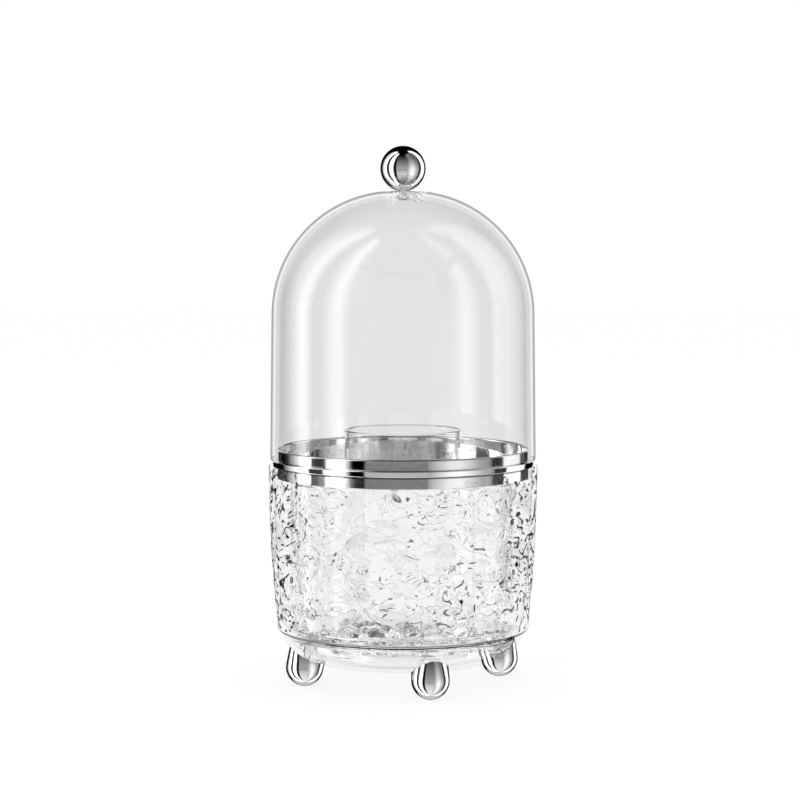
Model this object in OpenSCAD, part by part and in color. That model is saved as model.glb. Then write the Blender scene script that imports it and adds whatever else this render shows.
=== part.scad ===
// Round cosmetic organizer: a clear domed lid over a clear textured cup with a
// five-way divider, turning on a ball race in a clear dish that stands on four
// plated feet. Millimetres, +Z up, origin on the ground under the centre.

/* [Feet] */
// Radius of a foot's barrel and of its ball end
foot_r = 8.8; // [8:0.1:9.2]
// Distance from the centre line to the centre of a foot's ball end
foot_circle_r = 46.5; // [45:0.1:47.5]
// Lean of a foot, with its lower end outwards
foot_splay = 12; // [9:1:14]
// Radius of the flat that a foot rests on
foot_flat_r = 1.9; // [1.5:0.1:2.5]

/* [Dish] */
// Height of the dish's underside above the ground
dish_low_z = 11.1; // [10.8:0.1:11.5]
// Height of the dish's lip
dish_lip_z = 23.6; // [23.2:0.1:23.7]
// Radius of the dish's flat middle
dish_flat_r = 40; // [39:0.5:40.5]
// Radius of the dish's rounded side
dish_side_r = 16; // [15.5:0.1:16.5]
// Wall of the dish
dish_wall = 2.2; // [2:0.1:2.4]

/* [Turntable] */
// Radius of the ball race
race_r = 34; // [32:0.5:35]
// Radius of a bearing ball
ball_r = 2.5; // [2.4:0.05:2.5]
// Number of bearing balls
ball_count = 16; // [8:4:20]
// Radius of the shoulder that the turntable turns on
pivot_r = 2.5; // [2.2:0.1:3]
// Radial play of the pivot in its bore
pivot_play = 0.05; // [0.02:0.01:0.1]

/* [Cup] */
// Height of the cup's lowest edge
cup_low_z = 24; // [23.9:0.1:24.2]
// Height of the cup's rim
cup_rim_z = 100.6; // [100:0.1:101]
// Largest radius of the cup
cup_r = 61.7; // [61.5:0.1:61.9]
// Wall of the cup
cup_wall = 2.6; // [2.4:0.1:2.8]
// Radius of the long curve that draws the cup in towards its bottom
cup_side_r = 648; // [600:10:750]
// Height at which the long curve is upright
cup_side_z = 97; // [95:1:99]

/* [Rim ring] */
// Height of the collar that the lid drops over
collar_top_z = 108.1; // [107:0.1:109]
// Outer radius of the collar
collar_r = 58.6; // [58.4:0.05:58.65]
// Inner radius of the whole ring
ring_bore_r = 56.9; // [56.8:0.1:57]
// Outer radius of the flange between cup and lid
flange_r = 61.2; // [60.9:0.1:61.4]
// Thickness of the flange
flange_t = 2.65; // [2.4:0.05:2.8]
// Height of the skirt's lower edge
skirt_low_z = 95.1; // [94.5:0.1:96]

/* [Divider] */
// Outer radius of the centre tube
tube_r = 26.7; // [25:0.1:28]
// Height of the centre tube's rim
tube_top_z = 116.4; // [112:0.1:118]
// Wall of the centre tube
tube_wall = 1.4; // [1.2:0.1:2]
// Number of fins
fin_count = 5; // [3:2:7]
// Thickness of a fin
fin_t = 1.6; // [1.4:0.1:2]
// Height of the fins' top edge
fin_top_z = 94; // [88:1:94]
// Distance from the centre line to a fin's outer edge
fin_reach = 56.2; // [55.5:0.1:56.3]

/* [Lid] */
// Radius of the lid at its mouth
lid_mouth_r = 60.75; // [60.7:0.05:60.8]
// Radius of the lid where its shoulder starts
lid_shoulder_r = 59.94; // [59.9:0.01:60]
// Height at which the shoulder starts
lid_shoulder_z = 169.1; // [167:0.1:171]
// Radius of the shoulder's arc
lid_arc_r = 56.2; // [56:0.1:56.4]
// Wall of the lid
lid_wall = 2; // [1.9:0.05:2]
// Radius of the knob
knob_r = 10.6; // [10:0.1:11]

/* [Hidden] */
$fn = 96;
over = 1;

// Feet and their screws
foot_count = 4;
foot_ball_z = sqrt(foot_r * foot_r - foot_flat_r * foot_flat_r);
foot_barrel = 12;
foot_pad_r = 4.6;
foot_pad_seat = 9.4;
small_shank_r = 1.5;
small_shank_l = 9;
small_head_r = 3;
small_head_h = 1.9;
small_play = 0.05;

// Dish
dish_side_z = dish_low_z + dish_side_r;
dish_floor_z = dish_low_z + dish_wall;
lip_r = dish_wall / 2;
lip_z = dish_lip_z - lip_r;
lip_drop = dish_side_z - lip_z;
lip_mid_r = dish_flat_r + sqrt(pow(dish_side_r - lip_r, 2) - lip_drop * lip_drop);
hub_r = 9;
hub_top_z = 21;
hub_recess_r = 6.4;
hub_recess_h = 3.4;

// Ball race: both tracks and the cage share one ring width
race_half_w = 3.6;
ball_z = 18.9;
track_play = 0.1;
track_r = ball_r + track_play;
track_low_z = ball_z - 1.7;
track_high_z = ball_z + 1.7;
cage_play = 0.3;
pocket_r = ball_r + 0.06;

// Cup
cup_base_z = 24.5;
cup_foot_w = 4.2;
cup_floor_z = 26.9;
cup_heel_r = 2.5;
cup_hollow_heel_r = 2;
cup_lip_r = cup_wall / 2;
boss_r = 5.6;
boss_low_z = hub_top_z + 0.2;

// Pivot
thread_r = 2;
thread_top_z = 25.8;
washer_r = 5.7;
washer_t = 1;
washer_top_z = dish_low_z + hub_recess_h - 0.1;
pivot_head_r = 4.3;
pivot_head_h = 1.9;

// Rim ring
skirt_r = cup_r - cup_wall - 0.2;
collar_lip_r = (collar_r - ring_bore_r) / 2;
flange_top_z = cup_rim_z + flange_t;
flange_edge_r = 0.35;

// Divider
fin_foot_z = cup_floor_z;
fin_side_gap = 0.5;
fin_corner_r = 5;
fin_root = 0.5;

// Lid
lid_low_z = flange_top_z;
lid_arc_x = lid_shoulder_r - lid_arc_r;
lid_top_z = lid_shoulder_z + lid_arc_r;
lid_lip_r = lid_wall / 2;
knob_seat_r = 3.2;
knob_z = lid_top_z + sqrt(knob_r * knob_r - knob_seat_r * knob_seat_r);
knob_washer_r = 3.7;
knob_washer_t = 0.6;
knob_screw_z = lid_top_z - lid_wall - knob_washer_t;

// Radius of the cup's side, moved in by inset, at height z
function cup_side(z, inset) =
    cup_r - cup_side_r + sqrt(pow(cup_side_r - inset, 2) - pow(cup_side_z - z, 2));

// Half section of the dish's outside, moved in by inset and cut level at top_z
module dish_section(inset, top_z) {
  translate([0, dish_low_z + inset])
    square([dish_flat_r, top_z - dish_low_z - inset]);
  intersection() {
    translate([dish_flat_r, dish_side_z]) circle(r = dish_side_r - inset);
    translate([dish_flat_r, dish_low_z]) square([dish_side_r, top_z - dish_low_z]);
  }
}

// The whole space inside the dish's outer surface
module dish_outline() {
  rotate_extrude() dish_section(0, dish_lip_z);
}

// Half section of a ring with a groove for the balls, from low_z to high_z
module track_section(low_z, high_z) {
  difference() {
    translate([race_r - race_half_w, low_z]) square([2 * race_half_w, high_z - low_z]);
    translate([race_r, ball_z]) circle(r = track_r);
  }
}

// Places its children upright on a foot's own axis, with zero at the ball end's centre
module on_foot_axis(turn) {
  rotate([0, 0, turn])
    translate([foot_circle_r, 0, foot_ball_z])
      rotate([0, -foot_splay, 0]) children();
}

// A pan-head screw with its head under zero, its shank going up and a cross recess
module pan_screw(head_r, head_h, shank_r, shank_l) {
  slot_w = head_r * 0.24;
  slot_l = head_r * 1.1;
  crown_r = head_r * 1.6;
  difference() {
    union() {
      intersection() {
        translate([0, 0, -head_h]) cylinder(r = head_r, h = head_h);
        translate([0, 0, crown_r - head_h]) sphere(r = crown_r);
      }
      cylinder(r = shank_r, h = shank_l);
    }
    for (turn = [0, 90])
      rotate([0, 0, turn])
        translate([-slot_l / 2, -slot_w / 2, -head_h - over]) cube([slot_l, slot_w, head_h * 0.5 + over]);
  }
}

// Clear bowl: rounded side, full-round lip, pivot hub, lower track and a seat for each foot screw
module base_dish() {
  color([0.86, 0.9, 0.92, 0.5])
    difference() {
      union() {
        rotate_extrude() {
          difference() {
            dish_section(0, lip_z);
            dish_section(dish_wall, dish_lip_z);
          }
          translate([lip_mid_r, lip_z]) circle(r = lip_r);
          translate([0, dish_low_z]) square([hub_r, hub_top_z - dish_low_z]);
          track_section(dish_floor_z - dish_wall / 2, track_low_z);
        }
        intersection() {
          rotate_extrude() dish_section(dish_wall / 2, lip_z);
          for (i = [0 : foot_count - 1])
            on_foot_axis(i * 360 / foot_count) cylinder(r = foot_pad_r, h = foot_pad_seat);
        }
      }
      translate([0, 0, dish_low_z - over]) cylinder(r = hub_recess_r, h = hub_recess_h + over);
      cylinder(r = pivot_r + pivot_play, h = hub_top_z + over);
      for (i = [0 : foot_count - 1])
        on_foot_axis(i * 360 / foot_count) cylinder(r = small_shank_r + small_play, h = foot_pad_seat + over);
    }
}

// Plated barrel with a ball end, its top a saddle cut to the dish's side
module foot(turn) {
  color([0.75, 0.76, 0.78])
    difference() {
      on_foot_axis(turn) {
        sphere(r = foot_r);
        cylinder(r = foot_r, h = foot_barrel);
      }
      dish_outline();
      translate([-2 * foot_circle_r, -2 * foot_circle_r, -foot_r]) cube([4 * foot_circle_r, 4 * foot_circle_r, foot_r]);
      on_foot_axis(turn)
        translate([0, 0, foot_pad_seat - small_shank_l - small_play])
          cylinder(r = small_shank_r + small_play, h = small_shank_l);
    }
}

module foot_right() { foot(0); }
module foot_back() { foot(90); }
module foot_left() { foot(180); }
module foot_front() { foot(270); }

// One screw through the dish into each foot
module foot_screws() {
  color([0.8, 0.85, 0.88, 0.6])
    for (i = [0 : foot_count - 1])
      on_foot_axis(i * 360 / foot_count)
        translate([0, 0, foot_pad_seat]) mirror([0, 0, 1])
          pan_screw(small_head_r, small_head_h, small_shank_r, small_shank_l);
}

// Ring with a snap pocket for each ball: the pockets' mouths are narrower than the balls
module ball_cage() {
  color([0.92, 0.93, 0.94, 0.7])
    difference() {
      rotate_extrude()
        translate([race_r - race_half_w, track_low_z + cage_play])
          square([2 * race_half_w, track_high_z - track_low_z - 2 * cage_play]);
      for (i = [0 : ball_count - 1])
        rotate([0, 0, i * 360 / ball_count]) translate([race_r, 0, ball_z]) sphere(r = pocket_r);
    }
}

// Loose balls of the race
module bearing_balls() {
  color([0.85, 0.92, 0.95, 0.6])
    for (i = [0 : ball_count - 1])
      rotate([0, 0, i * 360 / ball_count]) translate([race_r, 0, ball_z]) sphere(r = ball_r);
}

// Half section inside the cup's side, moved in by inset, from low_z up to top_z, with a round heel
module cup_section(inset, low_z, top_z, heel_r) {
  heel_z = low_z + heel_r;
  heel_x = cup_side(heel_z, inset) - heel_r;
  intersection() {
    translate([cup_r - cup_side_r, cup_side_z]) circle(r = cup_side_r - inset, $fn = 720);
    translate([0, heel_z]) square([cup_r + over, top_z - heel_z]);
  }
  translate([0, low_z]) square([heel_x, heel_r]);
  translate([heel_x, heel_z]) circle(r = heel_r);
}

// Clear cup: long drawn-in side, recessed base with the upper track and the pivot boss
module cup() {
  rim_arc_z = cup_rim_z - cup_lip_r;
  color([0.8, 0.88, 0.95, 0.45])
    difference() {
      rotate_extrude() {
        difference() {
          cup_section(0, cup_low_z, rim_arc_z, cup_heel_r);
          cup_section(cup_wall, cup_floor_z, cup_rim_z, cup_hollow_heel_r);
          translate([0, cup_low_z - over])
            square([cup_side(cup_low_z, cup_heel_r) - cup_foot_w, cup_base_z - cup_low_z + over]);
        }
        translate([cup_side(rim_arc_z, cup_lip_r), rim_arc_z]) circle(r = cup_lip_r);
        track_section(track_high_z, cup_base_z + over);
        translate([0, boss_low_z]) square([boss_r, cup_floor_z - boss_low_z]);
      }
      cylinder(r = thread_r + small_play, h = thread_top_z + small_play);
    }
}

// Shouldered screw: turns in the dish's hub and holds in the cup's boss
module pivot_screw() {
  color([0.8, 0.85, 0.88, 0.6])
    translate([0, 0, washer_top_z - washer_t]) {
      pan_screw(pivot_head_r, pivot_head_h, pivot_r, boss_low_z - washer_top_z + washer_t);
      cylinder(r = thread_r, h = thread_top_z - washer_top_z + washer_t);
    }
}

// Washer under the pivot screw's head
module pivot_washer() {
  color([0.84, 0.88, 0.9, 0.6])
    translate([0, 0, washer_top_z - washer_t])
      difference() {
        cylinder(r = washer_r, h = washer_t);
        translate([0, 0, -over]) cylinder(r = pivot_r + small_play, h = washer_t + 2 * over);
      }
}

// Plated ring: a collar for the lid, a flat-faced flange and a skirt that plugs into the cup
module rim_ring() {
  edge_x = flange_r - flange_edge_r;
  color([0.78, 0.79, 0.81])
    rotate_extrude() {
      translate([ring_bore_r, skirt_low_z]) square([skirt_r - ring_bore_r, flange_top_z - skirt_low_z]);
      translate([ring_bore_r, cup_rim_z]) square([edge_x - ring_bore_r, flange_t]);
      translate([collar_r, cup_rim_z + flange_edge_r]) square([flange_r - collar_r, flange_t - 2 * flange_edge_r]);
      translate([edge_x, cup_rim_z + flange_edge_r]) circle(r = flange_edge_r);
      translate([edge_x, flange_top_z - flange_edge_r]) circle(r = flange_edge_r);
      translate([ring_bore_r, cup_rim_z])
        square([collar_r - ring_bore_r, collar_top_z - collar_lip_r - cup_rim_z]);
      translate([ring_bore_r + collar_lip_r, collar_top_z - collar_lip_r]) circle(r = collar_lip_r);
    }
}

// Outline of one fin, a little deeper than the tube's foot: follows the cup's side, with a
// round heel and a round top corner
module fin_section() {
  inset = cup_wall + fin_side_gap;
  heel_z = fin_foot_z + fin_corner_r;
  shoulder_z = fin_top_z - fin_corner_r;
  root_x = tube_r - tube_wall + fin_root;
  heel_x = cup_side(heel_z, inset) - fin_corner_r;
  shoulder_x = fin_reach - fin_corner_r;
  intersection() {
    translate([cup_r - cup_side_r, cup_side_z]) circle(r = cup_side_r - inset, $fn = 720);
    translate([root_x, heel_z]) square([fin_reach - root_x, shoulder_z - heel_z]);
  }
  translate([root_x, fin_foot_z - over]) square([heel_x - root_x, fin_corner_r + over]);
  translate([root_x, shoulder_z]) square([shoulder_x - root_x, fin_corner_r]);
  translate([heel_x, heel_z]) circle(r = fin_corner_r);
  translate([shoulder_x, shoulder_z]) circle(r = fin_corner_r);
}

// Drop-in divider: a centre tube with a round rim and fins out to the cup's wall
module divider_insert() {
  foot_low_z = fin_foot_z - over;
  rim_arc_z = tube_top_z - tube_wall / 2;
  color([0.75, 0.85, 0.95, 0.5])
    difference() {
      union() {
        rotate_extrude() {
          translate([tube_r - tube_wall, foot_low_z]) square([tube_wall, rim_arc_z - foot_low_z]);
          translate([tube_r - tube_wall / 2, rim_arc_z]) circle(r = tube_wall / 2);
        }
        for (i = [0 : fin_count - 1])
          rotate([0, 0, i * 360 / fin_count])
            rotate([90, 0, 0]) linear_extrude(height = fin_t, center = true) fin_section();
      }
      translate([0, 0, foot_low_z - over]) cylinder(r = fin_reach, h = 2 * over);
    }
}

// Half section of the lid's outside, moved in by inset
module lid_section(inset) {
  polygon([[0, lid_low_z + lid_lip_r], [lid_mouth_r - inset, lid_low_z + lid_lip_r],
           [lid_shoulder_r - inset, lid_shoulder_z], [0, lid_shoulder_z]]);
  translate([0, lid_shoulder_z]) square([lid_arc_x, lid_arc_r - inset]);
  intersection() {
    translate([lid_arc_x, lid_shoulder_z]) circle(r = lid_arc_r - inset, $fn = 180);
    translate([lid_arc_x, lid_shoulder_z]) square(lid_arc_r);
  }
}

// Clear lid: slightly tapered side, deep quarter-round shoulder, round lip and a hole for the knob screw
module lid_dome() {
  color([0.85, 0.92, 0.97, 0.35])
    difference() {
      rotate_extrude() {
        difference() {
          lid_section(0);
          lid_section(lid_wall);
        }
        translate([lid_mouth_r - lid_lip_r, lid_low_z + lid_lip_r]) circle(r = lid_lip_r);
      }
      translate([0, 0, lid_shoulder_z]) cylinder(r = small_shank_r + small_play, h = lid_arc_r + over);
    }
}

// Plated ball with a small flat seat and a blind hole for its screw
module lid_knob() {
  color([0.78, 0.79, 0.81])
    difference() {
      translate([0, 0, knob_z]) sphere(r = knob_r);
      translate([-knob_r, -knob_r, lid_top_z - 2 * knob_r]) cube(2 * knob_r);
      translate([0, 0, knob_screw_z]) cylinder(r = small_shank_r + small_play, h = small_shank_l + small_play);
    }
}

// Screw from inside the lid into the knob
module knob_screw() {
  color([0.8, 0.85, 0.88, 0.6])
    translate([0, 0, knob_screw_z]) pan_screw(small_head_r, small_head_h, small_shank_r, small_shank_l);
}

// Washer between the knob screw's head and the lid
module knob_washer() {
  color([0.84, 0.88, 0.9, 0.6])
    translate([0, 0, knob_screw_z])
      difference() {
        cylinder(r = knob_washer_r, h = knob_washer_t);
        translate([0, 0, -over]) cylinder(r = small_shank_r + small_play, h = knob_washer_t + 2 * over);
      }
}

base_dish();
foot_right();
foot_back();
foot_left();
foot_front();
foot_screws();
ball_cage();
bearing_balls();
cup();
pivot_screw();
pivot_washer();
rim_ring();
divider_insert();
lid_dome();
lid_knob();
knob_screw();
knob_washer();
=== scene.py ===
import math

import bpy
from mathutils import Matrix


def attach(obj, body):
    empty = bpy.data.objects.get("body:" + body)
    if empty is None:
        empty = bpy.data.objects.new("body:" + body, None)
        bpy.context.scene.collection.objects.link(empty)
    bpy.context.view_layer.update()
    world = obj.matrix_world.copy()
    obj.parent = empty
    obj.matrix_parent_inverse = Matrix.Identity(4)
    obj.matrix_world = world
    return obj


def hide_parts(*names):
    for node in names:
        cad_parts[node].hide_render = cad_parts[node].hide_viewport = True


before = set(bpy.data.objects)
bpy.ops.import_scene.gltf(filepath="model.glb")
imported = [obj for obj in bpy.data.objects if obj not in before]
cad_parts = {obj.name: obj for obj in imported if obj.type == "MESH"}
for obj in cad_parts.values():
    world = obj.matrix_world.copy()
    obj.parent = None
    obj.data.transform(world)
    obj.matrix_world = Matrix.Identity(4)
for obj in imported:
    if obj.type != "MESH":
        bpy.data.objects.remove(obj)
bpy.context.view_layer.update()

# ---------------------------------------------------------------------------------------
# Camera. It stands a little over a metre away, about level with the crown of the lid and
# tipped slightly down, a touch to the left of the front foot.

camera_turn = math.radians(-15.2)
camera_distance = 1.1845
camera_height = 0.22479
camera_tip = 0.080
sensor_width = 36

# These three in pixels
picture_side = 800
centre_offset = 3
focal_length = 2595.27

camera_data = bpy.data.cameras.new("camera")
camera_data.sensor_width = sensor_width
camera_data.lens = focal_length / picture_side * sensor_width
camera_data.shift_x = -centre_offset / picture_side
camera_data.clip_start = 0.01
camera_data.clip_end = 20
camera = bpy.data.objects.new("camera", camera_data)
camera.location = (math.sin(camera_turn) * camera_distance, -math.cos(camera_turn) * camera_distance,
                   camera_height)
camera.rotation_euler = (math.pi / 2 - camera_tip, 0, camera_turn)
bpy.context.scene.collection.objects.link(camera)
bpy.context.scene.camera = camera


# ---------------------------------------------------------------------------------------
# Studio. The room is an even white; what mirrors reflect of it is a ring of tall white
# panels with black flags between them, under a dark ceiling, as for any plated ware.

class Value:
    """An output socket that takes part in arithmetic: each operator adds its Math node."""

    def __init__(self, sheet, socket):
        self.sheet, self.socket = sheet, socket

    def maths(self, operation, first, second=0.0):
        return self.sheet.node("ShaderNodeMath", {"operation": operation}, {0: first, 1: second})

    def __add__(self, other):
        return self.maths("ADD", self, other)

    def __sub__(self, other):
        return self.maths("SUBTRACT", self, other)

    def __rsub__(self, other):
        return self.maths("SUBTRACT", other, self)

    def __mul__(self, other):
        return self.maths("MULTIPLY", self, other)

    def __truediv__(self, other):
        return self.maths("DIVIDE", self, other)

    def __rtruediv__(self, other):
        return self.maths("DIVIDE", other, self)

    def __gt__(self, other):
        return self.maths("GREATER_THAN", self, other)

    def __lt__(self, other):
        return self.maths("LESS_THAN", self, other)

    __radd__ = __add__
    __rmul__ = __mul__


class Sheet:
    """A node tree that is written one node at a time."""

    def __init__(self, tree):
        self.tree = tree

    def node(self, kind, settings=None, sockets=None, out=0):
        """Adds a node with its settings and its inputs, which may be numbers or other nodes' outputs."""
        made = self.tree.nodes.new(kind)
        for name, setting in (settings or {}).items():
            if name == "stops":
                self.fill_ramp(made.color_ramp, setting)
            else:
                setattr(made, name, setting)
        for name, given in (sockets or {}).items():
            if isinstance(given, Value):
                self.tree.links.new(given.socket, made.inputs[name])
            else:
                made.inputs[name].default_value = given
        return Value(self, made.outputs[out]) if len(made.outputs) else made

    def smooth(self, value, between, result=(0.0, 1.0)):
        """Eases from one result to the other as the value goes from one end of its range to the other."""
        return self.node("ShaderNodeMapRange", {"interpolation_type": "SMOOTHSTEP"},
                         {0: value, 1: between[0], 2: between[1], 3: result[0], 4: result[1]})

    def length(self, place, stretch):
        """How far a place lies from the origin, when each of its measures is stretched first."""
        stretched = self.node("ShaderNodeVectorMath", {"operation": "MULTIPLY"}, {0: place, 1: stretch})
        return self.node("ShaderNodeVectorMath", {"operation": "LENGTH"}, {0: stretched}, "Value")

    def upward(self):
        """How far the surface faces up: 1 for a level top, 0 for an upright wall."""
        normal = self.node("ShaderNodeTexCoord", out="Normal")
        return self.node("ShaderNodeSeparateXYZ", sockets={0: normal}, out="Z")

    def fill_ramp(self, ramp, stops):
        """Gives a colour ramp its stops, each a place and a grey."""
        while len(ramp.elements) > 1:
            ramp.elements.remove(ramp.elements[-1])
        for i, (place, grey) in enumerate(stops):
            stop = ramp.elements[0] if i == 0 else ramp.elements.new(place)
            stop.position = place
            stop.color = (grey, grey, grey, 1)


world = bpy.data.worlds.new("studio")
bpy.context.scene.world = world
world.use_nodes = True
world.node_tree.nodes.clear()
world.cycles.sampling_method = "NONE"
studio = Sheet(world.node_tree)

way = studio.node("ShaderNodeTexCoord", out="Generated")
to_camera = studio.node("ShaderNodeVectorMath", {"operation": "DOT_PRODUCT"},
                        {0: way, 1: (math.sin(camera_turn), -math.cos(camera_turn), 0)}, "Value")
to_right = studio.node("ShaderNodeVectorMath", {"operation": "DOT_PRODUCT"},
                       {0: way, 1: (math.cos(camera_turn), math.sin(camera_turn), 0)}, "Value")
height = studio.node("ShaderNodeSeparateXYZ", sockets={0: way}, out="Z")
bearing = to_camera.maths("ARCTAN2", to_right, to_camera) / (2 * math.pi) + 0.5

# Panels and flags: what a mirror sees at each bearing from the camera, in degrees round to the right
panel_light = 3.0
panels = [(-180, 0.0), (-126, 0.0), (-108, 1.0), (-101, 2.8), (-91.5, 2.8), (-89, 0.05), (-74, 0.05),
          (-72, 1.3), (-68, 1.3), (-65, 2.7), (-56, 2.7), (-53, 1.3), (-46, 0.0), (-35, 0.0), (-32, 0.28),
          (21, 0.29), (30, 0.55), (42, 0.85), (52, 0.9), (64, 0.62), (74, 0.38), (84, 0.32), (87, 0.04),
          (100, 0.04), (102.5, 1.3), (128, 1.3), (131, 0.0), (180, 0.0)]
panel_stops = [(turn / 360 + 0.5, light / panel_light) for turn, light in panels]
ring = studio.node("ShaderNodeValToRGB", {"stops": panel_stops}, {0: bearing})

# The panel in front pales downwards, with the table's dark edge across it, and the one to its right pales
# evenly; the dark ceiling hangs over all of them
front_from, front_to, right_to = -33, 22, 82
front_pales = [(0.0, 0.9), (0.25, 0.68), (0.42, 0.4), (0.438, 0.38)]
table_edge = [(0.4425, 0.18), (0.4452, 0.18), (0.4465, 0.28), (0.449, 0.28)]
front_darkens = [(0.4535, 0.38), (0.5, 0.39), (0.7, 0.22), (0.88, 0.06), (0.96, 0.0)]
front_grade = studio.node("ShaderNodeValToRGB", {"stops": front_pales + table_edge + front_darkens},
                          {0: height * 0.5 + 0.5})
front = (bearing > 0.5 + front_from / 360) * (bearing < 0.5 + front_to / 360)
right_grade = studio.smooth(height, (-0.3, 0.85), (1.25, 0.25))
right = (bearing > 0.5 + front_to / 360) * (bearing < 0.5 + right_to / 360)
under_ceiling = studio.smooth(height, (0.925, 0.965), (1.0, 0.0))
side_panels = ring * panel_light * (1 + right * (right_grade - 1))
panels_seen = (side_panels * (1 - front) + front_grade * front) * under_ceiling

# Behind the ware stands the white backdrop, and low down on that side lies the pale table
backdrop_edge = -0.875
table_pale = 0.6
low_back = studio.smooth(height, (-0.72, -0.62), (table_pale, 0.0)) * (to_camera < 0)
mirrored_room = panels_seen.maths("MAXIMUM", panels_seen, low_back) + (to_camera < backdrop_edge)

# Straight through clear walls lies a white screen; what they bend further than that meets the panels
screen_dip = 0.06
screen_edge, screen_full = math.cos(math.radians(27)), math.cos(math.radians(14))
screen = studio.node("ShaderNodeVectorMath", {"operation": "DOT_PRODUCT"},
                     {0: way, 1: (-math.sin(camera_turn), math.cos(camera_turn), -screen_dip)}, "Value")
on_screen = studio.smooth(screen, (screen_edge, screen_full))
dimmest = 0.04
seen_through = on_screen + (1 - on_screen) * (panels_seen + dimmest)
fill_light = 0.97
by_camera = studio.node("ShaderNodeLightPath", out="Is Camera Ray")
by_matt = studio.node("ShaderNodeLightPath", out="Is Diffuse Ray")
by_mirror = studio.node("ShaderNodeLightPath", out="Glossy Depth") > 0.5
unmirrored = by_camera + (1 - by_camera) * seen_through
sharp = by_mirror * mirrored_room + (1 - by_mirror) * unmirrored
room_light = by_matt * fill_light + (1 - by_matt) * sharp
background = studio.node("ShaderNodeBackground", sockets={"Color": (1, 1, 1, 1), "Strength": room_light})
studio.node("ShaderNodeOutputWorld", sockets={"Surface": background})

# The floor: pale and matt; mirrors don't see it, so the upright bands run on below
floor_radius = 4.0
floor_white = 0.97
floor_shadow_share = 0.12
floor_edge = [(floor_radius * math.cos(i * math.tau / 64), floor_radius * math.sin(i * math.tau / 64), 0)
              for i in range(64)]
floor_mesh = bpy.data.meshes.new("floor")
floor_mesh.from_pydata(floor_edge, [], [list(range(64))])
floor = bpy.data.objects.new("floor", floor_mesh)
bpy.context.scene.collection.objects.link(floor)
floor_material = bpy.data.materials.new("floor_white")
floor_material.use_nodes = True
floor_material.node_tree.nodes.clear()
paint = Sheet(floor_material.node_tree)
matt = paint.node("ShaderNodeBsdfDiffuse", sockets={"Color": (floor_white, floor_white, floor_white, 1)})
glow = paint.node("ShaderNodeEmission", sockets={"Strength": 1.0})
not_by_matt = paint.node("ShaderNodeLightPath", out="Is Diffuse Ray") < 0.5
by_mirror = paint.node("ShaderNodeLightPath", out="Glossy Depth") > 0.5
glow_share = not_by_matt * (1 - floor_shadow_share)
pale = paint.node("ShaderNodeMixShader", sockets={0: glow_share, 1: matt, 2: glow})
nothing = paint.node("ShaderNodeBsdfTransparent")
floor_look = paint.node("ShaderNodeMixShader", sockets={0: by_mirror, 1: pale, 2: nothing})
paint.node("ShaderNodeOutputMaterial", sockets={"Surface": floor_look})
floor_mesh.materials.append(floor_material)

# One wide soft lamp above and in front of the ware
lamp_data = bpy.data.lights.new("soft_lamp", "AREA")
lamp_data.shape = "DISK"
lamp_data.size = 1.2
lamp_data.energy = 9
lamp = bpy.data.objects.new("soft_lamp", lamp_data)
lamp.location = (-0.5, -1.0, 1.6)
lamp.rotation_euler = (math.radians(35), 0, math.radians(-27))
lamp.visible_glossy = False
lamp.visible_transmission = False
bpy.context.scene.collection.objects.link(lamp)

scene = bpy.context.scene
scene.view_settings.view_transform = "Standard"
scene.cycles.max_bounces = 40
scene.cycles.transmission_bounces = 40
scene.cycles.glossy_bounces = 16
scene.cycles.transparent_max_bounces = 16
scene.cycles.caustics_reflective = False


# ---------------------------------------------------------------------------------------
# Feet. Four plated barrels with ball ends, splayed a little; the saddle on top of each is
# cut to the dish's side. A small clear screw from inside the dish goes into each one.

mm = 0.001
dish_low_z = 11.1
dish_flat_r = 40
dish_side_r = 16


def skin(name, rows):
    """A piece whose surface runs over rows of points: each a closed ring, or one point at a pole."""
    points, faces, numbers = [], [], []
    for row in rows:
        numbers.append(range(len(points), len(points) + len(row)))
        points += [(x * mm, y * mm, z * mm) for x, y, z in row]
    around = max(len(row) for row in rows)
    for low, high in zip(numbers, numbers[1:] + numbers[:1]):
        for i in range(around):
            j = (i + 1) % around
            corners = [low[i % len(low)], low[j % len(low)], high[j % len(high)], high[i % len(high)]]
            corners = list(dict.fromkeys(corners))
            if len(corners) > 2:
                faces.append(corners)
    mesh = bpy.data.meshes.new(name)
    mesh.from_pydata(points, [], faces)
    mesh.shade_smooth()
    mesh.set_sharp_from_angle(angle=math.radians(40))
    piece = bpy.data.objects.new(name, mesh)
    bpy.context.scene.collection.objects.link(piece)
    return piece


class Growth(Sheet):
    """A Geometry Nodes tree with named inputs, run once on a piece for the plain mesh it makes."""

    def __init__(self, name, **inputs):
        super().__init__(bpy.data.node_groups.new(name, "GeometryNodeTree"))
        kinds = {int: "Int", float: "Float", bpy.types.Material: "Material"}
        self.given = inputs
        sockets = self.tree.interface
        sockets.new_socket("Geometry", in_out="OUTPUT", socket_type="NodeSocketGeometry")
        sockets.new_socket("Geometry", in_out="INPUT", socket_type="NodeSocketGeometry")
        for label, value in inputs.items():
            sockets.new_socket(label, in_out="INPUT", socket_type="NodeSocket" + kinds[type(value)])
        self.source = self.tree.nodes.new("NodeGroupInput")

    def __getitem__(self, label):
        return Value(self, self.source.outputs[label])

    def run(self, piece, geometry):
        real = self.node("GeometryNodeRealizeInstances", sockets={0: geometry})
        dressed = self.node("GeometryNodeSetMaterial", sockets={0: real, "Material": self["Material"]})
        self.node("NodeGroupOutput", sockets={0: dressed})
        modifier = piece.modifiers.new(self.tree.name, "NODES")
        modifier.node_group = self.tree
        for item in self.tree.interface.items_tree:
            if item.name in self.given:
                modifier[item.identifier] = self.given[item.name]
        made = bpy.data.meshes.new_from_object(piece.evaluated_get(bpy.context.evaluated_depsgraph_get()))
        piece.modifiers.clear()
        piece.data = made


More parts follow.
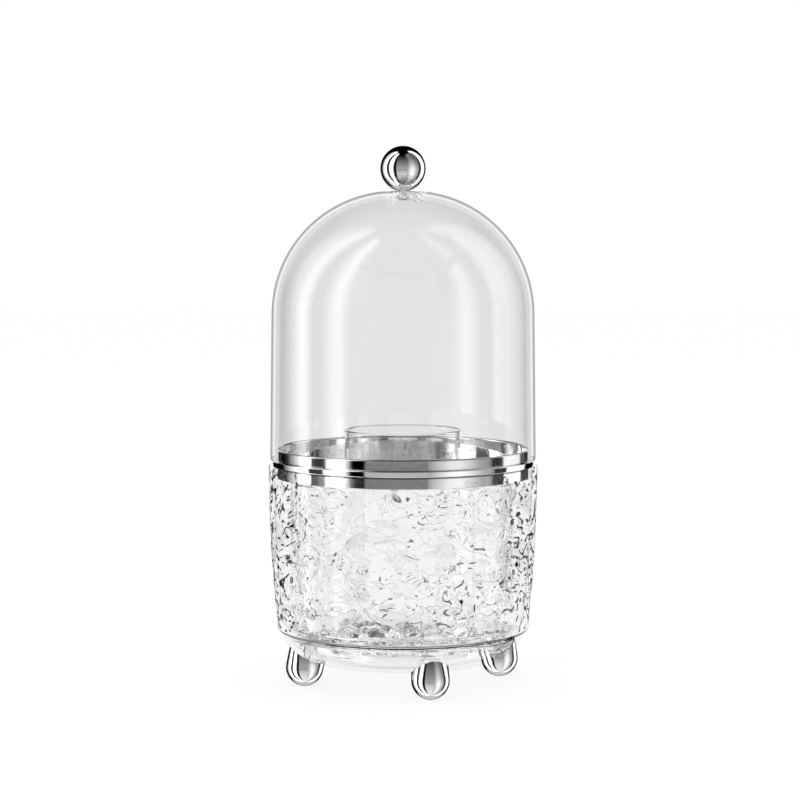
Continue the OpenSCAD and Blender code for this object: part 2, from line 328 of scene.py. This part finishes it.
def repeat_round(piece, count, material):
    """Repeats a piece evenly round the upright axis, as one mesh."""
    growth = Growth(piece.name + "_round", Count=count, Material=material)
    points = growth.node("GeometryNodePoints", sockets={"Count": growth["Count"]})
    index = growth.node("GeometryNodeInputIndex")
    turn = growth.node("ShaderNodeCombineXYZ", sockets={"Z": index * math.tau / growth["Count"]})
    copies = growth.node("GeometryNodeInstanceOnPoints",
                         sockets={"Points": points, "Instance": growth["Geometry"], "Rotation": turn})
    growth.run(piece, copies)


def new_material(name):
    """An empty material, and the sheet that its nodes are written on."""
    made = bpy.data.materials.new(name)
    made.use_nodes = True
    made.node_tree.nodes.clear()
    return made, Sheet(made.node_tree)


def fit(piece, body, slot, *nodes):
    """Puts a finished piece on its body, in place of its CAD nodes."""
    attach(piece, body)
    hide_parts(*nodes)


def dress(material, *nodes):
    """Gives CAD nodes a better material in every slot."""
    for name in nodes:
        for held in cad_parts[name].material_slots:
            held.material = material


def plated_chrome(name):
    """Bright plating: a mirror with faint clouding and the finest orange peel."""
    made, mix = new_material(name)
    place = mix.node("ShaderNodeTexCoord", out="Object")
    cloud = mix.node("ShaderNodeTexNoise", sockets={"Vector": place, "Scale": 90.0, "Detail": 3.0})
    peel = mix.node("ShaderNodeTexNoise", sockets={"Vector": place, "Scale": 500.0, "Detail": 1.0})
    dent = mix.node("ShaderNodeBump", sockets={"Strength": 0.03, "Distance": 0.0002, "Height": peel})
    tone = mix.node("ShaderNodeMix", {"data_type": "RGBA"},
                    {0: cloud, 6: (0.86, 0.87, 0.88, 1), 7: (0.93, 0.93, 0.935, 1)}, 2)
    surface = mix.node("ShaderNodeBsdfPrincipled", sockets={
        "Base Color": tone, "Metallic": 1.0, "Roughness": cloud * 0.03 + 0.02, "Normal": dent})
    mix.node("ShaderNodeOutputMaterial", sockets={"Surface": surface})
    return made


foot_r = 8.8
foot_circle_r = 46.5
foot_ball_z = 8.592
foot_splay = math.radians(12)
foot_hole_r = 1.55
foot_hole_low = 0.35
foot_barrel = 12
saddle_gap = 0.05
foot_turns = [math.tau * i / 128 for i in range(128)]
saddle_edge = [(foot_r, 0.25), (8.73, 0.08), (8.55, 0)]


def foot_point(r, turn, along):
    """A point at a radius, turn and height on the foot's own splayed axis, never below the table's top."""
    x, y = r * math.cos(turn), r * math.sin(turn)
    return (foot_circle_r + x * math.cos(foot_splay) - along * math.sin(foot_splay), y,
            max(0, foot_ball_z + x * math.sin(foot_splay) + along * math.cos(foot_splay)))


def depth_in_dish(x, y, z):
    """How far inside the dish's outer surface a point lies."""
    r = math.hypot(x, y)
    if r < dish_flat_r:
        return z - dish_low_z
    return dish_side_r - math.hypot(r - dish_flat_r, z - dish_low_z - dish_side_r)


def saddle_point(r, turn, drop=0):
    """Where a line along the foot meets the dish, or a little below that."""
    low, high = 0, foot_barrel
    for step in range(24):
        middle = (low + high) / 2
        if depth_in_dish(*foot_point(r, turn, middle)) > -saddle_gap:
            high = middle
        else:
            low = middle
    return foot_point(r, turn, low - drop)


foot_rows = [[foot_point(0, 0, -foot_r)]]
for lean in range(-87, 1, 3):
    r, along = foot_r * math.cos(math.radians(lean)), foot_r * math.sin(math.radians(lean))
    foot_rows.append([foot_point(r, turn, along) for turn in foot_turns])
foot_rows += [[saddle_point(r, turn, drop) for turn in foot_turns] for r, drop in saddle_edge]
foot_rows += [[saddle_point(r, turn) for turn in foot_turns] for r in (7, 5, 3, foot_hole_r)]
foot_rows.append([foot_point(foot_hole_r, turn, foot_hole_low) for turn in foot_turns])
foot_rows.append([foot_point(0, 0, foot_hole_low)])
feet = skin("feet", foot_rows)
chrome = plated_chrome("plated_chrome")
repeat_round(feet, 4, chrome)
fit(feet, "base", "plated_chrome", "foot_right", "foot_back", "foot_left", "foot_front")


# ---------------------------------------------------------------------------------------
# Base dish. One clear moulding: rounded side, full-round lip, the pivot's hub in the middle
# and the lower track for the balls. The feet are screwed to the inside of its curve.

def clear_plastic(name, tint, ior, side_film=0.0, flat_film=0.0, film_tint_and_edge_shade=((0, 0.995), (1, 0.995)),
                  grazing=(0.42, 0.62), walls=None):
    """Water-clear moulded plastic. Where a wall is seen edge-on, or lies flat, a film takes its place, which
    doesn't bend the light; where that film darkens towards edge-on, the darker film is painted shade at the
    edges. walls gives a piece's own dents, the painted shading that darkens its colour, where it is film
    anyway, and the film's sheen."""
    made, mix = new_material(name)
    place = mix.node("ShaderNodeTexCoord", out="Object")
    cloud = mix.node("ShaderNodeTexNoise", sockets={"Vector": place, "Scale": 35.0, "Detail": 2.0})
    tone = mix.node("ShaderNodeMix", {"data_type": "RGBA"},
                    {0: cloud, 6: (*[shade - 0.012 for shade in tint], 1), 7: (*tint, 1)}, 2)
    sockets = {"Base Color": tone, "Roughness": cloud * 0.006, "IOR": ior, "Transmission Weight": 1.0}
    edge_on = mix.node("ShaderNodeLayerWeight", sockets={"Blend": 0.5}, out="Facing")
    # The film's tint; in some pieces it darkens towards edge-on, which is painted shade at the edges.
    film_tone = mix.node("ShaderNodeValToRGB", {"stops": film_tint_and_edge_shade}, {0: edge_on})
    always_film, sheen = 0.0, None
    if walls:
        sockets["Normal"], painted_shading, always_film, sheen = walls(mix, place, edge_on)
        # The colour is darkened by the piece's painted shading.
        sockets["Base Color"] = mix.node("ShaderNodeVectorMath", {"operation": "SCALE"},
                                         {0: tone, "Scale": painted_shading})
        film_tone = film_tone * painted_shading
    bending = mix.node("ShaderNodeBsdfPrincipled", sockets=sockets)
    dark = mix.node("ShaderNodeBsdfTransparent", sockets={"Color": (0, 0, 0, 1)})
    open_air = mix.node("ShaderNodeBsdfTransparent", sockets={"Color": (1, 1, 1, 1)})
    film = mix.node("ShaderNodeMixShader", sockets={0: film_tone, 1: dark, 2: open_air})
    if sheen:
        gloss = mix.node("ShaderNodeBsdfAnisotropic", sockets={"Color": (1, 1, 1, 1), "Roughness": 0.02})
        film = mix.node("ShaderNodeMixShader", sockets={0: sheen, 1: film, 2: gloss})
    upward = mix.upward()
    inside_heel = mix.length(place, (1, 1, 0)) < 50 * mm
    grazed = mix.smooth(edge_on, grazing, (0.0, side_film))
    flat = mix.smooth(upward.maths("ABSOLUTE", upward), (0.8, 0.95), (0.0, flat_film)) * inside_heel
    # Walls seen nearly edge-on turn to film, which shows the film's painted edge shade where it has one.
    outline = mix.smooth(edge_on, (0.85, 0.9), (0.0, side_film))
    share = grazed.maths("MAXIMUM", grazed, flat)
    share = share.maths("MAXIMUM", share, outline)
    share = share.maths("MAXIMUM", share, always_film)
    both = mix.node("ShaderNodeMixShader", sockets={0: share, 1: bending, 2: film})
    mix.node("ShaderNodeOutputMaterial", sockets={"Surface": both})
    return made


def cast_no_shadow(*pieces):
    """Water-clear plastic leaves the table as light as it was."""
    for piece in pieces:
        piece.visible_shadow = False


# The dish's film darkens towards edge-on: painted shade along its outline.
dish_clear = clear_plastic("dish_clear_plastic", (0.99, 0.992, 0.992), 1.45, side_film=0.97, flat_film=0.9,
                           film_tint_and_edge_shade=((0.0, 0.98), (0.85, 0.97), (0.95, 0.92), (1.0, 0.85)))
dress(dish_clear, "base_dish")
cast_no_shadow(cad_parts["base_dish"])

fixing_clear = clear_plastic("clear_fixing", (0.96, 0.965, 0.965), 1.45, side_film=0.7, flat_film=0.9)
dress(fixing_clear, "foot_screws")
cast_no_shadow(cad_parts["foot_screws"])


# ---------------------------------------------------------------------------------------
# Ball race. Sixteen glass balls snap into a clear cage and roll in the grooves of the dish
# below and the cup above, so that the cup turns.

def arc(centre, radius, start, end, steps, lead=0):
    """Points along an arc, in degrees, with both its ends, and a lead of straight line at each."""
    turns = [math.radians(start + (end - start) * i / steps) for i in range(steps + 1)]
    run = [(centre[0] + radius * math.cos(turn), centre[1] + radius * math.sin(turn)) for turn in turns]
    if lead:
        for turn, way in ((turns[0], -1), (turns[-1], 1)):
            x, y = run[0] if way < 0 else run[-1]
            held = (x - math.sin(turn) * lead * way, y + math.cos(turn) * lead * way)
            run = [held] + run if way < 0 else run + [held]
    return run


def lathe(name, outline, around=256, axis_x=0):
    """Turns an outline of (radius, height) points about an upright axis, solid on its left."""
    turns = [math.tau * i / around for i in range(around)]
    rows = []
    for r, z in outline:
        here = turns if r > 1e-6 else [0]
        rows.append([(axis_x + r * math.cos(turn), r * math.sin(turn), z) for turn in here])
    return skin(name, rows)


race_r = 34
ball_z = 18.9
ball_r = 2.5
ball_count = 16
ball_glass = clear_plastic("ball_glass", (0.97, 0.975, 0.975), 1.5, side_film=0.8)
ball_outline = [(0, ball_z - ball_r)] + arc((0, ball_z), ball_r, -82.5, 82.5, 22) + [(0, ball_z + ball_r)]
balls = lathe("bearing_balls_round", ball_outline, 32, race_r)
repeat_round(balls, ball_count, ball_glass)
fit(balls, "cage", "ball_glass", "bearing_balls")
cast_no_shadow(balls)

cage_plastic = clear_plastic("cage_plastic", (0.98, 0.985, 0.985), 1.45, side_film=0.7, flat_film=0.9)
dress(cage_plastic, "ball_cage")
cast_no_shadow(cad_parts["ball_cage"])


# ---------------------------------------------------------------------------------------
# Cup. A clear moulding with a long drawn-in side. Its outside is worked all over in
# irregular pebbles, like melting ice, which calm down under the rim; the inside is smooth.

cup_r = 61.68
cup_side_r = 648
cup_side_z = 97
cup_wall = 2.6
cup_low_z = 24
cup_rim_z = 100.6
cup_base_z = 24.5
cup_floor_z = 26.9
cup_heel_r = 2.5
cup_hollow_heel_r = 2
cup_foot_w = 4.2
boss_r = 5.6
boss_low_z = 21.2
thread_r = 2.05
thread_top_z = 25.85
track_low_z = 20.6
track_half_w = 3.6
track_r = 2.6
groove_half_w = 2.2


def cup_side(z, inset=0.0):
    """Radius of the cup's side, moved in by inset, at a height."""
    return cup_r - cup_side_r + math.sqrt((cup_side_r - inset) ** 2 - (cup_side_z - z) ** 2)


def soften(corners, radius, steps=4):
    """Rounds the corners of a run of points a little, as moulded edges are, and holds each bend's ends."""
    run = [corners[0]]
    for before, corner, after in zip(corners, corners[1:], corners[2:]):
        ends = []
        for other in (before, after):
            share = min(radius / math.dist(corner, other), 0.4)
            ends.append([c + (o - c) * share for c, o in zip(corner, other)])
        run.append(tuple(e + (e - c) * 0.15 for e, c in zip(ends[0], corner)))
        for t in [step / steps for step in range(steps + 1)]:
            run.append(tuple((1 - t) ** 2 * a + 2 * t * (1 - t) * c + t * t * b
                             for a, c, b in zip(ends[0], corner, ends[1])))
        run.append(tuple(e + (e - c) * 0.15 for e, c in zip(ends[1], corner)))
    return run + [corners[-1]]


def smooth_step(low, high, value):
    """Eases from 0 to 1 as the value goes from low to high."""
    t = min(max((value - low) / (high - low), 0), 1)
    return t * t * (3 - 2 * t)


groove = math.degrees(math.asin((track_low_z - ball_z) / track_r))
lip_r = cup_wall / 2
lip_z = cup_rim_z - lip_r
heel_z = cup_low_z + cup_heel_r
heel_x = cup_side(heel_z) - cup_heel_r
hollow_z = cup_floor_z + cup_hollow_heel_r
foot_ring_r = cup_side(cup_low_z, cup_heel_r) - cup_foot_w
side_rows = 92
side = [(cup_side(z), z) for z in [heel_z + (lip_z - heel_z) * i / side_rows for i in range(1, side_rows)]]
cup_outline = [(0, thread_top_z)]
cup_outline += soften([(0.5, thread_top_z), (thread_r, thread_top_z), (thread_r, boss_low_z),
                       (boss_r, boss_low_z), (boss_r, cup_base_z), (race_r - track_half_w, cup_base_z),
                       (race_r - track_half_w, track_low_z), (race_r - groove_half_w, track_low_z)],
                      radius=0.3, steps=2)
cup_outline += arc((race_r, ball_z), track_r, 180 - groove, groove, 10)
cup_outline += soften([(race_r + groove_half_w, track_low_z), (race_r + track_half_w, track_low_z),
                       (race_r + track_half_w, cup_base_z), (foot_ring_r, cup_base_z),
                       (foot_ring_r, cup_low_z), (foot_ring_r + 1, cup_low_z)], radius=0.2, steps=2)
cup_outline += arc((heel_x, heel_z), cup_heel_r, -90, -8, 8)
cup_outline += side
cup_outline += arc((cup_side(lip_z, lip_r), lip_z), lip_r, 0, 180, 12, 0.15)
cup_outline += [(cup_side(z, cup_wall), z) for z in (90, 80, 70, 60, 50, 40, 34)]
hollow_heel_x = cup_side(hollow_z, cup_wall) - cup_hollow_heel_r
cup_outline += arc((hollow_heel_x, hollow_z), cup_hollow_heel_r, -6, -90, 7)
cup_outline += [(20, cup_floor_z), (0, cup_floor_z)]
cup = lathe("cup_body", cup_outline, 500)

# The relief at each height: it sets in above the heel, calms down under the rim and fades out on the lip
relief_depth = 0.55
relief_foot_z, relief_full_z = 26.3, 29
calm_from_z, calm_z = 91, 96
plain_from_z, plain_z = 97.5, 99.2
skirt_low_z = 95.1
relief_share = cup.data.attributes.new("relief", "FLOAT", "POINT")
for point, share in zip(cup.data.vertices, relief_share.data):
    z = point.co.z / mm
    outside = heel_z < z < lip_z and math.hypot(point.co.x, point.co.y) / mm > cup_side(z) - 0.3
    rising = smooth_step(relief_foot_z, relief_full_z, z)
    calming = 1 - 0.9 * smooth_step(calm_from_z, calm_z, z)
    fading = 1 - 0.99 * smooth_step(plain_from_z, plain_z, z)
    share.value = outside * rising * calming * fading


def fine_relief(mix, place, edge_on):
    """Short broken creases, too fine to be in the mesh, and faint ripples between, as bumps; creases and
    ripples are also painted into the colour as darker marks, painted shade in place of the dark their bending
    shows, thicker where seen edge-on. The heel is painted darker underneath and along one line, painted shade
    too, and the smooth wall over the ring's skirt doesn't bend what lies behind."""
    worked = mix.node("ShaderNodeAttribute", {"attribute_name": "relief"}, out="Fac")
    drift = mix.node("ShaderNodeTexNoise", sockets={"Vector": place, "Scale": 50.0, "Detail": 0.0},
                     out="Color")
    push = mix.node("ShaderNodeVectorMath", {"operation": "SCALE"}, {0: drift, "Scale": 0.01})
    spot = mix.node("ShaderNodeVectorMath", {"operation": "ADD"}, {0: place, 1: push})
    lying = mix.node("ShaderNodeVectorMath", {"operation": "MULTIPLY"}, {0: spot, 1: (1, 1, 1.7)})
    height = mix.node("ShaderNodeSeparateXYZ", sockets={0: place}, out="Z")
    upward = mix.upward()

    def creases(scale, width, seed):
        field = mix.node("ShaderNodeTexNoise", {"noise_dimensions": "4D"},
                         {"Vector": lying, "W": seed, "Scale": scale, "Detail": 0.0}) - 0.5
        return mix.smooth(field.maths("ABSOLUTE", field), (width * 0.4, width), (1.0, 0.0))

    gaps = mix.node("ShaderNodeTexNoise", sockets={"Vector": lying, "Scale": 330.0, "Detail": 0.0})
    broken = mix.smooth(gaps * (edge_on * 0.2 + 1), (0.57, 0.6))
    patches = mix.node("ShaderNodeTexNoise", sockets={"Vector": place, "Scale": 55.0, "Detail": 0.0})
    lively = mix.smooth(patches + edge_on * 0.3, (0.48, 0.56))
    lively = lively.maths("MAXIMUM", lively, (height > (skirt_low_z - 2) * mm) * 0.8)
    widening = edge_on * edge_on * 1.8 + 1
    # Crease marks: bumps, and painted dark specks in the colour.
    marks = creases(scale=125.0, width=widening * 0.04, seed=1.0) * broken * lively * 0.95
    faint = creases(scale=75.0, width=0.015, seed=5.0)
    stretched = mix.node("ShaderNodeVectorMath", {"operation": "MULTIPLY"}, {0: spot, 1: (1, 1, 3)})
    haze = mix.node("ShaderNodeTexNoise", sockets={"Vector": stretched, "Scale": 45.0, "Detail": 0.0})
    ripple = mix.smooth(haze, (0.62, 0.7))

    on_side = (height > heel_z * mm) * (height < (lip_z + 0.2) * mm) * (worked > 0.001)
    marked = on_side * mix.smooth(edge_on, (0.15, 0.4))
    on_heel = mix.length(place, (1, 1, 0)) > heel_x * mm
    # The heel's underside and one line across it are painted darker: painted shade.
    under = mix.smooth(upward, (-0.55, -0.75), (0.0, 0.9))
    painted_heel_line_lean = -0.44
    off_line = upward - painted_heel_line_lean
    line = mix.smooth(off_line.maths("ABSOLUTE", off_line), (0.05, 0.18), (0.9, 0.0))
    # All the painted shade that darkens the cup's colour.
    painted_shade = marks * marked.maths("MAXIMUM", marked, worked)
    painted_shade = painted_shade + (faint * 0.12 + ripple * 0.15) * worked + (under + line) * on_heel
    painted_shading = 1 - painted_shade.maths("MINIMUM", painted_shade, 1.0)
    dent = mix.node("ShaderNodeBump", sockets={"Strength": 1.0, "Distance": 0.0002,
                                               "Height": (faint + marks + ripple) * worked})
    over_skirt = mix.smooth(height, ((skirt_low_z - 0.7) * mm, (skirt_low_z - 0.1) * mm), (0.0, 0.97))
    return dent, painted_shading, over_skirt, None


# Its film darkens strongly towards edge-on: painted shade along the outline.
textured = clear_plastic("textured_clear_plastic", (1.0, 1.0, 1.0), 1.4, side_film=0.97, flat_film=0.85,
                         film_tint_and_edge_shade=((0.0, 0.992), (0.75, 0.992), (0.85, 0.96), (0.93, 0.8), (1.0, 0.6)),
                         grazing=(0.34, 0.48), walls=fine_relief)
ice = Growth("ice_relief", Depth=relief_depth * mm, Pebble=9.0 * mm, Warp=3.0 * mm, Crease=0.3 * mm, Seed=3.0,
             Material=textured)
spot = ice.node("GeometryNodeInputPosition")
relief = ice.node("GeometryNodeInputNamedAttribute", {"data_type": "FLOAT"}, {"Name": "relief"})
cells = 1.0 / ice["Pebble"]
drift = ice.node("ShaderNodeTexNoise", {"noise_dimensions": "4D"},
                 {"Vector": spot, "W": ice["Seed"], "Scale": cells * 0.8, "Detail": 1.0}, "Color")
centred = ice.node("ShaderNodeVectorMath", {"operation": "SUBTRACT"}, {0: drift, 1: (0.5, 0.5, 0.5)})
push = ice.node("ShaderNodeVectorMath", {"operation": "SCALE"}, {0: centred, "Scale": ice["Warp"] * 3.0})
warped = ice.node("ShaderNodeVectorMath", {"operation": "ADD"}, {0: spot, 1: push})


def pebbles(scale, seed):
    """Bowls round scattered points, which meet in soft creases."""
    away = ice.node("ShaderNodeTexVoronoi", {"feature": "SMOOTH_F1", "voronoi_dimensions": "4D"},
                    {"Vector": warped, "W": seed, "Scale": scale, "Smoothness": 0.2}, "Distance")
    return away * away * 1.7


both_sizes = pebbles(cells, ice["Seed"]) * 0.65 + pebbles(cells * 2, ice["Seed"] + 4) * 0.35
border = ice.node("ShaderNodeTexVoronoi", {"feature": "DISTANCE_TO_EDGE", "voronoi_dimensions": "4D"},
                  {"Vector": warped, "W": ice["Seed"] + 9, "Scale": cells * 1.1}, "Distance")
groove_cut = ice.smooth(border, (0.0, 0.09), (1.0, 0.0))
here_and_there = ice.node("ShaderNodeTexNoise", {"noise_dimensions": "4D"},
                          {"Vector": spot, "W": ice["Seed"] + 2, "Scale": cells * 1.3, "Detail": 1.0})
kept = ice.smooth(here_and_there, (0.5, 0.6))
dip = ice["Depth"] * both_sizes.maths("MINIMUM", both_sizes, 1.0) + groove_cut * kept * ice["Crease"]
inward = ice.node("ShaderNodeVectorMath", {"operation": "SCALE"},
                  {0: ice.node("GeometryNodeInputNormal"), "Scale": dip * relief * -1.0})
worked = ice.node("GeometryNodeSetPosition", sockets={"Geometry": ice["Geometry"], "Offset": inward})
ice.run(cup, worked)
fit(cup, "cup", "textured_clear_plastic", "cup")
cast_no_shadow(cup)


# ---------------------------------------------------------------------------------------
# Pivot. A shouldered clear screw turns in the dish's hub and holds in the cup's boss, over a
# clear washer.

dress(fixing_clear, "pivot_screw", "pivot_washer")
cast_no_shadow(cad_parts["pivot_screw"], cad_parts["pivot_washer"])


# ---------------------------------------------------------------------------------------
# Rim ring. One plated band: its skirt plugs into the cup, its flat-faced flange covers the
# cup's lip, and the collar above centres the lid.

ring_bore_r = 56.9
skirt_r = 58.9
flange_r = 61.2
flange_t = 2.65
flange_edge_r = 0.35
collar_r = 58.6
collar_top_z = 108.1
collar_lip_r = 0.85
flange_top_z = cup_rim_z + flange_t
ring_outline = soften([(ring_bore_r, skirt_low_z + 1), (ring_bore_r, skirt_low_z), (skirt_r, skirt_low_z),
                       (skirt_r, cup_rim_z), (flange_r - 1, cup_rim_z)], radius=0.25)
flange_edge_x = flange_r - flange_edge_r
face_lean = 5
face_run = (flange_t - 2 * flange_edge_r) * math.tan(math.radians(face_lean))
low_edge = (flange_edge_x - face_run, cup_rim_z + flange_edge_r)
ring_outline += arc(low_edge, flange_edge_r, -90, -face_lean, 5, 0.05)
ring_outline += arc((flange_edge_x, flange_top_z - flange_edge_r), flange_edge_r, -face_lean, 90, 5, 0.05)
ring_outline += soften([(flange_r - 1, flange_top_z), (collar_r, flange_top_z),
                        (collar_r, flange_top_z + 1)], radius=0.2)
ring_outline += arc((ring_bore_r + collar_lip_r, collar_top_z - collar_lip_r), collar_lip_r, 0, 180, 14, 0.1)
ring = lathe("rim_ring_band", ring_outline, 320)
ring.data.materials.append(chrome)
fit(ring, "cup", "plated_chrome", "rim_ring")


# ---------------------------------------------------------------------------------------
# Divider. A clear drop-in moulding: a centre tube with a round rim for tall brushes and
# five thin fins that reach almost to the cup's wall.

tube_r = 26.7
tube_wall = 1.4
tube_top_z = 116.4
divider_foot_z = cup_floor_z + 0.05
fin_count = 5
fin_t = 1.6
fin_top_z = 94
fin_reach = 56.2
fin_inset = 3.1
fin_corner_r = 5
fin_root_x = tube_r - 0.9

rim_arc_z = tube_top_z - tube_wall / 2
tube_outline = [(tube_r - tube_wall, divider_foot_z), (tube_r, divider_foot_z)]
tube_outline += arc((tube_r - tube_wall / 2, rim_arc_z), tube_wall / 2, 0, 180, 14, 0.15)
divider = lathe("divider_body", tube_outline, 192)


def low_tube(mix, place, edge_on):
    """Inside the cup the thin tube hardly shows; above it, it is a plain clear wall with faint waves."""
    waves = mix.node("ShaderNodeTexNoise", sockets={"Vector": place, "Scale": 60.0, "Detail": 1.0})
    dent = mix.node("ShaderNodeBump", sockets={"Strength": 0.2, "Distance": 0.0001, "Height": waves})
    height = mix.node("ShaderNodeSeparateXYZ", sockets={0: place}, out="Z")
    on_tube = mix.length(place, (1, 1, 0)) < (tube_r + 0.3) * mm
    turned = mix.smooth(edge_on, (0.46, 0.56))
    in_cup = height < (fin_top_z + 0.2) * mm
    return dent, 1.0, on_tube.maths("MAXIMUM", on_tube, turned) * in_cup * 0.97, None


clear = clear_plastic("clear_plastic", (0.996, 0.998, 0.998), 1.42, walls=low_tube)

fin_heel_z = cup_floor_z + fin_corner_r
fin_shoulder_z = fin_top_z - fin_corner_r
fin_outline = [(fin_root_x, divider_foot_z)]
fin_outline += arc((cup_side(fin_heel_z, fin_inset) - fin_corner_r, fin_heel_z), fin_corner_r, -89, -6, 8)
fin_outline += [(min(cup_side(z, fin_inset), fin_reach), z) for z in range(36, 89, 4)]
fin_outline += arc((fin_reach - fin_corner_r, fin_shoulder_z), fin_corner_r, 0, 90, 8)
fin_outline += [(fin_root_x, fin_top_z)]
fin_sides = [[(x, y, z) for x, z in fin_outline] for y in (-fin_t / 2, fin_t / 2)]
fin_mesh = bpy.data.meshes.new("fin")
fin_points = [(x * mm, y * mm, z * mm) for face in fin_sides for x, y, z in face]
n = len(fin_outline)
fin_faces = [list(range(n)), list(range(2 * n - 1, n - 1, -1))]
fin_faces += [[(i + 1) % n, i, n + i, n + (i + 1) % n] for i in range(n)]
fin_mesh.from_pydata(fin_points, [], fin_faces)
fin_mesh.shade_smooth()
fin_mesh.set_sharp_from_angle(angle=math.radians(30))
fin = bpy.data.objects.new("fin", fin_mesh)
bpy.context.scene.collection.objects.link(fin)
repeat_round(fin, fin_count, clear)

joining = divider.modifiers.new("join", "BOOLEAN")
joining.operation = "UNION"
joining.solver = "EXACT"
joining.object = fin
joined = bpy.data.meshes.new_from_object(divider.evaluated_get(bpy.context.evaluated_depsgraph_get()))
divider.modifiers.clear()
divider.data = joined
joined.materials.clear()
joined.materials.append(clear)
joined.set_sharp_from_angle(angle=math.radians(30))
bpy.data.objects.remove(fin)
fit(divider, "divider", "clear_plastic", "divider_insert")
cast_no_shadow(divider)


# ---------------------------------------------------------------------------------------
# Lid. A tall clear dome of even wall, blown smooth, with a full-round lip that stands on the
# ring's flange outside the collar.

lid_mouth_r = 60.75
lid_shoulder_r = 59.94
lid_shoulder_z = 169.1
lid_arc_r = 56.2
lid_wall = 2
lid_lip_r = lid_wall / 2
lid_hole_r = 1.55
lid_lip_z = flange_top_z + lid_lip_r
lid_tone = 0.957
lid_arc_x = lid_shoulder_r - lid_arc_r
lid_top_z = lid_shoulder_z + lid_arc_r
under_gap = 0.02
lid_outline = arc((lid_mouth_r - lid_lip_r, lid_lip_z), lid_lip_r, 180, 360, 16, 0.15)
lid_drawn_in = [((lid_shoulder_r - lid_mouth_r) * i / 8, lid_lip_z + (lid_shoulder_z - lid_lip_z) * i / 8)
                for i in range(1, 8)]
lid_outline += [(lid_mouth_r + inward, z) for inward, z in lid_drawn_in]
lid_outline += arc((lid_arc_x, lid_shoulder_z), lid_arc_r, 0, 90, 60)
lid_outline += [(lid_hole_r, lid_top_z), (lid_hole_r, lid_top_z - lid_wall + under_gap)]
lid_outline += arc((lid_arc_x, lid_shoulder_z), lid_arc_r - lid_wall + under_gap, 90, 0, 60)
lid_outline += [(lid_mouth_r - lid_wall + inward, z) for inward, z in reversed(lid_drawn_in)]
lid = lathe("lid_shell", lid_outline, 288)
outer_share = lid.data.attributes.new("outer", "FLOAT", "POINT")
for point, share in zip(lid.data.vertices, outer_share.data):
    r, z = math.hypot(point.co.x, point.co.y) / mm, point.co.z / mm
    down_side = max(0, lid_shoulder_z - z) / (lid_shoulder_z - lid_lip_z)
    widened = (lid_mouth_r - lid_shoulder_r) * down_side
    from_arc = math.hypot(r - widened - lid_arc_x, max(0, z - lid_shoulder_z))
    share.value = from_arc > lid_arc_r - lid_wall / 2


def lid_walls(mix, place, edge_on):
    """The dome is a film, but for the thick part about the knob's screw. Its outer skin is painted darker as
    it turns away, and the upright wall gets a painted dark line a shade before that: painted shade in place
    of the dark edges of bent light. The sheen is strongest where it mirrors the knob."""
    waves = mix.node("ShaderNodeTexNoise", sockets={"Vector": place, "Scale": 25.0, "Detail": 1.0})
    dent = mix.node("ShaderNodeBump", sockets={"Strength": 0.1, "Distance": 0.0001, "Height": waves})
    outer = mix.node("ShaderNodeAttribute", {"attribute_name": "outer"}, out="Fac")
    # Painted shade: the outer skin darkens towards edge-on.
    turned = mix.node("ShaderNodeValToRGB", {"stops": [(0.79, 0.0), (0.83, 0.22), (0.88, 0.38), (1.0, 0.48)]},
                      {0: edge_on})
    # Painted shade: a faint dark line on the upright wall.
    painted_line_stops = [(0.42, 0.0), (0.5, 0.03), (0.6, 0.025), (0.66, 0.045), (0.71, 0.045), (0.76, 0.0)]
    painted_line_shade = mix.node("ShaderNodeValToRGB", {"stops": painted_line_stops}, {0: edge_on})
    upward = mix.upward()
    upright = mix.smooth(upward.maths("ABSOLUTE", upward), (0.1, 0.5), (1.0, 0.0))
    painted_shading = 1 - outer * turned - painted_line_shade * upright
    thin = mix.node("ShaderNodeMapRange", sockets={0: mix.length(place, (1, 1, 0)), 1: 6.5 * mm, 2: 7.5 * mm})
    squared = edge_on * edge_on
    bounced = squared * squared * edge_on + 0.035
    from_knob = mix.length(place, (1, 0.48, 0))
    below_knob = mix.smooth(from_knob, (9.5 * mm, 10.5 * mm), (0.4, 0.0)) * (upward > 0.85)
    return dent, painted_shading, thin, bounced.maths("MINIMUM", bounced, 0.07) + below_knob


lid_clear = clear_plastic("lid_clear_plastic", (0.936, 0.939, 0.939), 1.45,
                          film_tint_and_edge_shade=((0.0, lid_tone), (1.0, lid_tone)), walls=lid_walls)
lid.data.materials.append(lid_clear)
fit(lid, "lid", "clear_plastic", "lid_dome")
cast_no_shadow(lid)


# ---------------------------------------------------------------------------------------
# Knob. A plated ball on a small flat seat, held through the crown of the lid by a screw and
# washer from inside.

knob_r = 10.6
knob_z = 235.405
knob_hole_top = 231.75
seat_z = lid_top_z + 0.02
seat_lean = math.degrees(math.asin((seat_z - knob_z) / knob_r))
knob_outline = [(0, knob_hole_top), (lid_hole_r, knob_hole_top), (lid_hole_r, seat_z)]
knob_outline += arc((0, knob_z), knob_r, seat_lean, 88, 80)
knob_outline += [(0, knob_z + knob_r)]
knob = lathe("lid_knob_ball", knob_outline, 160)
knob.data.materials.append(chrome)
fit(knob, "lid", "plated_chrome", "lid_knob")
dress(fixing_clear, "knob_screw", "knob_washer")
